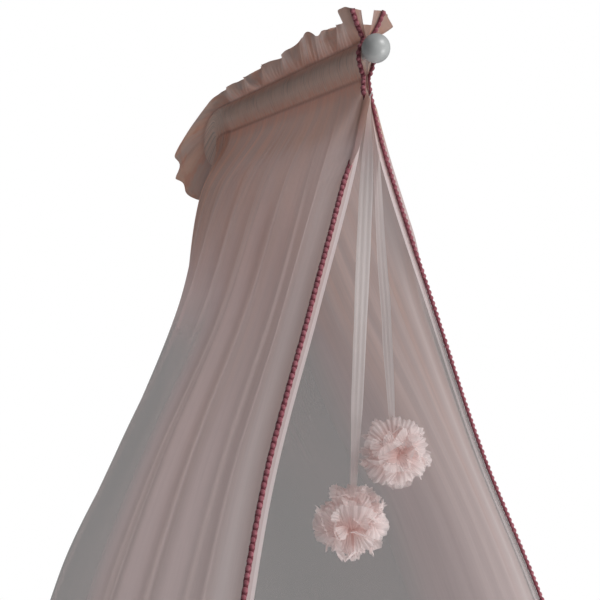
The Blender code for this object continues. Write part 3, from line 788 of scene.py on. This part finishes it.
def makeTape(name, route):
    lengths = np.linspace(trim["tapeEnd"], route[2][-1] - trim["tapeEnd"], trim["tapeSteps"])
    spot, out, _, across = onRoute(route, lengths)
    turn = np.linspace(0, 2 * pi, trim["tapeSides"] + 1)
    scallop = 1 + trim["scallop"] * np.sin(lengths * 2 * pi / (trim["pitch"] / 2))
    wide, deep = trim["tapeHalfWidth"] * scallop, trim["tapeHalfDepth"]
    middle = spot + out * (trim["offCloth"] + deep)
    points = (middle[:, None] + across[:, None] * (np.cos(turn)[None, :, None] * wide[:, None, None])
              + out[:, None] * (np.sin(turn)[None, :, None] * deep))
    flat = np.stack(np.meshgrid(turn / (2 * pi) * trim["tapeRound"], lengths), 2)
    tape, _, _ = gridSheet(name, points, flat)
    bpy.ops.object.mode_set(mode="EDIT")
    bpy.ops.mesh.select_all(action="SELECT")
    bpy.ops.mesh.remove_doubles(threshold=0.00001)
    bpy.ops.mesh.select_all(action="DESELECT")
    bpy.ops.mesh.select_non_manifold()
    bpy.ops.mesh.edge_face_add()
    bpy.ops.mesh.select_all(action="SELECT")
    bpy.ops.mesh.normals_make_consistent(inside=False)
    bpy.ops.object.mode_set(mode="OBJECT")
    return tape


def makeBobble():
    deselectAll()
    bpy.ops.mesh.primitive_uv_sphere_add(segments=8, ring_count=6, radius=1)
    bpy.context.object.scale = (trim["bobbleWide"], trim["bobbleLong"], trim["bobbleDeep"])
    return newPiece("bobble")


def addBobbles(tape, route, side):
    bobble = makeBobble()
    count = int((route[2][-1] - trim["spare"]) / trim["pitch"])
    spot, out, down, across = onRoute(route, trim["start"] + trim["pitch"] * np.arange(count))
    lift = trim["offCloth"] + trim["tapeHalfDepth"] + trim["bobbleDeep"] * trim["bobbleLift"]
    chance = random.Random(5 + side)
    built = bmesh.new()
    built.from_mesh(tape.data)
    for i in range(count):
        before = len(built.verts)
        built.from_mesh(bobble.data)
        built.verts.ensure_lookup_table()
        size = chance.uniform(0.93, 1.06)
        place = spot[i] + out[i] * lift + across[i] * chance.uniform(-0.0004, 0.0004)
        turn = Matrix((across[i], down[i], out[i])).transposed()
        spin = Matrix.Rotation(chance.uniform(*anyTurn), 3, Vector(out[i]))
        for vertex in built.verts[before:]:
            vertex.co = Vector(place) + spin @ (turn @ (vertex.co * size))
    built.to_mesh(tape.data)
    built.free()
    bpy.data.objects.remove(bobble, do_unlink=True)


def makeTrim(name, half, side, cordAndGapShade, finish, node):
    route = trimRoute(half, side)
    tape = makeTape(name, route)
    tapeFaces = len(tape.data.polygons)
    addBobbles(tape, route, side)
    deselectAll()
    tape.select_set(True)
    bpy.context.view_layer.objects.active = tape
    bpy.ops.object.shade_smooth()
    wear(tape, cordAndGapShade, "bobble_trim", node)
    tape.data.materials.append(finish)
    onBobble = np.arange(len(tape.data.polygons)) >= tapeFaces
    tape.data.polygons.foreach_set("material_index", onBobble.astype(np.int32))


def bobbleFinish(name, dark, light):
    look = Finish(name)
    place = look.node("TexCoord")[3]
    fluff = look.noise(place, 900.0, 4.0, 0.7)
    shade = look.noise(place, 130.0)
    rose = look.ramp(shade * 0.7 + fluff * 0.3, [(0.32, (*dark, 1)), (0.68, (*light, 1))])
    look.set(BaseColor=rose, Roughness=0.92, SheenWeight=0.5, SheenRoughness=0.4,
             SpecularIORLevel=0.12, Normal=look.bump(fluff, 0.6, 0.0006))
    return look.material


# the cord is darker than the bobbles: partly the tape's deeper rose, partly painted shade in the gaps
# between bobbles
cordAndGapShade = bobbleFinish("roseCordGapShade", (0.17, 0.04, 0.055), (0.26, 0.075, 0.095))
bobbles = bobbleFinish("roseBobbles", (0.3, 0.085, 0.108), (0.5, 0.19, 0.228))
makeTrim("bobbleTrimRight", trimRight, 1, cordAndGapShade, bobbles, "bobble_trim_right")
makeTrim("bobbleTrimLeft", trimLeft, -1, cordAndGapShade, bobbles, "bobble_trim_left")
print("bobble trims made")


# the two tulle ribbons, sewn in under the front end of the pocket, and their pompoms

pompoms = {
    "upper": {"centre": (0.0423, -0.6194, -0.704), "reach": 0.0625, "seed": 3,
              "front": (-0.52, -0.8, 0.22)},
    "lower": {"centre": (-0.0213, -0.5812, -0.8255), "reach": 0.0665, "seed": 8,
              "front": (-0.58, -0.78, 0.16)},
}

ribbons = {
    "share": 0.975, "fraction": (1 / 15) ** 1.35, "inward": 0.002,  # where they leave the panels
    "seamX": 0.0004, "topHeight": -0.074, "leadRows": 7, "knot": 0.012,
    "width": 0.0245, "fullHalf": 0.012, "columns": 13, "rows": 150,
    "foldDepth": 0.0003, "foldWaves": 2.5, "sway": 0.0012, "widthStray": 0.05,
    "long": {"side": -1, "pompom": "lower", "node": "ribbon_long", "rows": (  # place, half width, turn
        (0.0, 0.003, 88.0), (0.06, 0.007, 96.0), (0.16, 0.011, 128.0), (0.45, 0.0122, 146.0),
        (0.7, 0.0104, 138.0), (0.84, 0.0076, 146.0), (1.0, 0.004, 150.0))},
    "short": {"side": 1, "pompom": "upper", "node": "ribbon_short", "rows": (
        (0.0, 0.003, 92.0), (0.06, 0.0072, 82.0), (0.16, 0.0113, 84.0), (0.45, 0.0124, 94.0),
        (0.75, 0.0114, 100.0), (0.93, 0.0082, 92.0), (1.0, 0.0036, 88.0))},
}


def ribbonStart(side):
    share = np.array([ribbons["share"]])
    spot = panelPoints(side, share, np.array([ribbons["fraction"]]))[0, 0]
    return Vector((side * (spot[0] - ribbons["inward"]), spot[1], spot[2]))


def makeRibbon(kind, finish):
    facts = ribbons[kind]
    side = facts["side"]
    start = ribbonStart(side)
    centre = Vector(pompoms[facts["pompom"]]["centre"])
    end = centre + (start - centre).normalized() * ribbons["knot"]
    seam = Vector((side * ribbons["seamX"], start.y, ribbons["topHeight"]))
    knots = [row[0] for row in facts["rows"]]
    shapes = [row[1:] for row in facts["rows"]]
    along = np.linspace(0.0, 1.0, ribbons["rows"])
    route = np.array([start.lerp(end, t) for t in along])
    lead = np.array([seam.lerp(start, t) for t in np.linspace(0, 1, ribbons["leadRows"] + 1)[:-1]])
    half, turn = curveThrough(knots, shapes, along).T
    turn = np.radians(turn)
    sway = ribbons["sway"] * wobble(along, 41 + side, 1.6) * np.sin(pi * along)
    route[:, 0] += sway * -np.sin(turn)
    route[:, 1] += sway * np.cos(turn)
    middle = np.concatenate([lead, route])
    half = np.concatenate([np.full(len(lead), half[0]), half])
    turn = np.concatenate([np.full(len(lead), turn[0]), turn])
    across = np.stack([np.cos(turn), np.sin(turn), 0 * turn], 1)
    through = np.stack([-np.sin(turn), np.cos(turn), 0 * turn], 1)
    span = np.linspace(-1, 1, ribbons["columns"])
    fold = np.cos(span * ribbons["foldWaves"] * pi) * ribbons["foldDepth"]
    stray = wobble(np.arange(len(middle)) / len(middle), 51 + side, 2.3)
    wide = half * (1 + ribbons["widthStray"] * stray)
    deep = half / ribbons["fullHalf"]
    points = (middle[:, None] + across[:, None] * (span[None] * wide[:, None])[..., None]
              + through[:, None] * (fold[None] * deep[:, None])[..., None])
    length = np.concatenate([[0], np.cumsum(np.linalg.norm(np.diff(middle, axis=0), axis=1))])
    flat = np.stack(np.meshgrid((span + 1) * 0.5, length), 2)
    ribbon, _, _ = gridSheet("ribbon" + kind.capitalize(), points, flat)
    wear(ribbon, finish, "tulle", facts["node"])


def ribbonFinish():
    look = Finish("tulleRibbon")
    flat = look.uv("flatCloth")
    across, down, _ = look.parts(flat)
    streaks = look.grain(flat, (9.0, 3.0, 1.0))
    plies = 2.6 + (look.away(across, 0.5) > 0.43) * 1.4
    net = look.sine(across * 150.0) * look.sine(down * 6000.0)
    alpha = look.limit(1.0 - 0.36 ** (plies * (0.75 + streaks * 0.5)) + net * 0.04, 0.05, 1.0)
    shade = look.ramp(streaks, [(0.3, (0.95, 0.9, 0.89, 1)), (0.7, (0.98, 0.95, 0.94, 1))])
    look.set(BaseColor=shade, Roughness=0.8, SheenWeight=0.3, SheenRoughness=0.4,
             SpecularIORLevel=0.2, Normal=look.bump(streaks + net * 0.05, 0.3, 0.0006))
    look.sheer(alpha, (0.98, 0.93, 0.925, 1), 0.42)
    return look.material


tulle = ribbonFinish()
makeRibbon("long", tulle)
makeRibbon("short", tulle)
print("ribbons made")


# each pompom is a ball of rosettes: pleated fans of tulle that spread from a few hollows

petal = {
    "rosettes": 7, "goldenTurn": 2.39996, "outer": 7, "inner": 5, "across": 33, "along": 8,
    "outerReach": (52, 80), "innerReach": (20, 46), "halfFan": (24, 36),  # degrees
    "core": 0.009, "root": 0.24, "past": 0.005, "lengths": (0.86, 1.1), "wildness": (0.5, 1.6),
    "pleats": (4.5, 7.5), "pleatDepth": 0.0016, "curl": 0.005, "cup": 0.0016, "hollow": 0.06,
}


def rosetteAxes(facts):
    front = Vector(facts["front"]).normalized()
    turn = Vector((0, 0, 1)).rotation_difference(front)
    axes = []
    for number in range(petal["rosettes"]):
        height = 1 - 2 * number / (petal["rosettes"] - 0.5)
        swing = number * petal["goldenTurn"] + facts["seed"]
        wide = sqrt(max(1 - height * height, 0.0))
        axes.append(turn @ Vector((wide * cos(swing), wide * sin(swing), height)))
    return axes


def petalPoints(facts, axis, around, deep, chance):  # rows x columns x 3, from the hollow to the tips
    t = np.linspace(0.0, 1.0, petal["along"])[:, None]
    s = np.linspace(-1.0, 1.0, petal["across"])[None]
    first = axis.orthogonal().normalized()
    second = axis.cross(first)
    far = radians(chance.uniform(*petal["innerReach" if deep else "outerReach"]))
    fan = radians(chance.uniform(*petal["halfFan"]))
    reach = facts["reach"] * chance.uniform(*petal["lengths"])
    pleats, phase = chance.uniform(*petal["pleats"]), chance.uniform(*anyTurn)
    uneven = 0.08 * np.sin(s * 4.1 + phase) + 0.025 * np.sin(s * 17.0 + 2 * phase)
    ragged = 1 + uneven * chance.uniform(*petal["wildness"]) * t**2 - 0.1 * s**4 * t
    away = petal["hollow"] + (far - petal["hollow"]) * t**0.8
    swing = around + s * fan * (0.55 + 0.45 * t)
    radius = reach * (petal["root"] + (1 - petal["root"]) * t * ragged)
    zigzag = 2 / pi * np.arcsin(np.sin(s * pi * pleats + phase))
    radius = radius + petal["pleatDepth"] * chance.uniform(0.7, 1.2) * zigzag * t**0.7
    radius = radius - petal["curl"] * chance.uniform(-0.6, 1.4) * t**3 - petal["cup"] * s**2 * t
    radius = np.minimum(radius, facts["reach"] + petal["past"])
    n, a, b = (np.array(v)[None, None] for v in (axis, first, second))
    lying = a * np.cos(swing)[..., None] + b * np.sin(swing)[..., None]
    return radius[..., None] * (n * np.cos(away)[..., None] + lying * np.sin(away)[..., None])


def allPetals(facts):
    chance = random.Random(facts["seed"])
    sheets = []
    for axis in rosetteAxes(facts):
        for deep in (False, True):
            count = petal["inner" if deep else "outer"]
            start = chance.uniform(*anyTurn)
            for number in range(count):
                around = start + 2 * pi * (number + chance.uniform(-0.2, 0.2)) / count
                sheets.append(np.array(facts["centre"]) + petalPoints(facts, axis, around, deep, chance))
    return sheets


def makePompom(kind, finish, node):
    facts = pompoms[kind]
    lastRow, lastColumn = petal["along"] - 1, petal["across"] - 1
    deselectAll()
    bpy.ops.mesh.primitive_uv_sphere_add(segments=16, ring_count=10, radius=petal["core"],
                                         location=facts["centre"])
    pompom = newPiece("pompom" + kind.capitalize())
    built = bmesh.new()
    built.from_mesh(pompom.data)
    layer = built.loops.layers.uv.verify()
    for face in built.faces:
        for loop in face.loops:
            loop[layer].uv = (0.5, 0.0)
    for number, points in enumerate(allPetals(facts)):
        grid = [[built.verts.new(spot) for spot in line] for line in points]
        for j in range(lastRow):
            for i in range(lastColumn):
                corners = ((j, i), (j, i + 1), (j + 1, i + 1), (j + 1, i))
                face = built.faces.new([grid[row][column] for row, column in corners])
                for loop, (row, column) in zip(face.loops, corners):
                    loop[layer].uv = (number + column / lastColumn, row / lastRow)
    built.to_mesh(pompom.data)
    built.free()
    pompom.data.uv_layers[0].name = "petalPlace"
    bpy.ops.object.shade_smooth()
    wear(pompom, finish, "pompom", node)


def pompomFinish():
    look = Finish("tullePetals")
    flat = look.uv("petalPlace")
    across, out, _ = look.parts(flat)
    streaks = look.grain(flat, (26.0, 2.0, 1.0))
    net = look.sine(across * 420.0) * look.sine(out * 400.0)
    # painted shade: deep rose at each petal's root in the rosette hollows, paler out to the tips
    shade = look.ramp(out, [(0.0, (0.84, 0.36, 0.29, 1)), (0.4, (0.97, 0.7, 0.665, 1)),
                            (0.85, (0.99, 0.91, 0.91, 1))])
    shade = look.mix(streaks * 0.35, shade, (0.99, 0.9, 0.89, 1))
    alpha = look.limit(0.38 + streaks * 0.45 + net * 0.05, 0.05, 1.0)
    look.set(BaseColor=shade, Roughness=0.8, SheenWeight=0.35, SheenRoughness=0.4,
             SpecularIORLevel=0.2, Normal=look.bump(streaks + net * 0.1, 0.4, 0.0006))
    look.sheer(alpha, (0.99, 0.9, 0.88, 1), 0.35)
    return look.material


petals = pompomFinish()
makePompom("upper", petals, "pompom_upper")
makePompom("lower", petals, "pompom_lower")
print("pompoms made")


# the wall rod and its ball

rodSizes = {"radius": 0.01, "length": 0.6005, "sides": 48, "edge": 0.0008, "edgeSteps": 3}
ballSizes = {
    "radius": 0.025, "centre": (0.0, -0.623, 0.0), "flat": -0.6008, "segments": 72, "rings": 48,
    "edge": 0.0006, "edgeSteps": 2,
}
alongRod = (radians(90), 0, 0)
creaseAngle = radians(35)


def softenEdges(piece, sizes):  # round its sharp edges, and shade the rest smooth
    edge = piece.modifiers.new("softEdge", "BEVEL")
    edge.width, edge.segments = sizes["edge"], sizes["edgeSteps"]
    edge.limit_method, edge.angle_limit = "ANGLE", creaseAngle
    bpy.ops.object.modifier_apply(modifier=edge.name)
    bpy.ops.object.shade_smooth_by_angle(angle=creaseAngle)


def makeRod(finish):
    deselectAll()
    middle = (0, -rodSizes["length"] / 2, 0)
    bpy.ops.mesh.primitive_cylinder_add(vertices=rodSizes["sides"], radius=rodSizes["radius"],
                                        depth=rodSizes["length"], location=middle, rotation=alongRod)
    rod = newPiece("rodBar")
    softenEdges(rod, rodSizes)
    wear(rod, finish, "rod_finish", "rod")


def makeBall(finish):
    deselectAll()
    bpy.ops.mesh.primitive_uv_sphere_add(segments=ballSizes["segments"], ring_count=ballSizes["rings"],
                                         radius=ballSizes["radius"], location=ballSizes["centre"],
                                         rotation=alongRod)
    ball = newPiece("ballEnd")
    bpy.ops.object.mode_set(mode="EDIT")
    bpy.ops.mesh.select_all(action="SELECT")
    bpy.ops.mesh.bisect(plane_co=(0, ballSizes["flat"], 0), plane_no=(0, 1, 0),
                        use_fill=True, clear_outer=True)
    bpy.ops.object.mode_set(mode="OBJECT")
    softenEdges(ball, ballSizes)
    wear(ball, finish, "rod_finish", "ball_finial")


def glossFinish():
    look = Finish("whiteLacquer")
    place = look.node("TexCoord")[3]
    brush = look.grain(place, (60.0, 9.0, 60.0), 3.0, 0.55)
    mottle = look.noise(place, 28.0)
    shade = look.ramp(mottle, [(0.3, (0.5, 0.52, 0.518, 1)), (0.7, (0.55, 0.565, 0.563, 1))])
    look.set(BaseColor=shade, Roughness=0.3 + brush * 0.12, CoatWeight=0.22, CoatRoughness=0.2,
             Normal=look.bump(brush, 0.06, 0.0004))
    return look.material


lacquer = glossFinish()
makeRod(lacquer)
makeBall(lacquer)
print("rod and ball made")


# floor, far below the hem

def makeFloor():
    deselectAll()
    bpy.ops.mesh.primitive_plane_add(size=studio["floorSize"], location=studio["floorPlace"])
    floor = bpy.context.object
    floor.name = "paleFloor"
    look = Finish("palePaper")
    look.set(BaseColor=studio["floorColour"], Roughness=0.9, EmissionColor=(1, 1, 1, 1),
             EmissionStrength=studio["floorGlow"])
    floor.data.materials.append(look.material)


makeFloor()
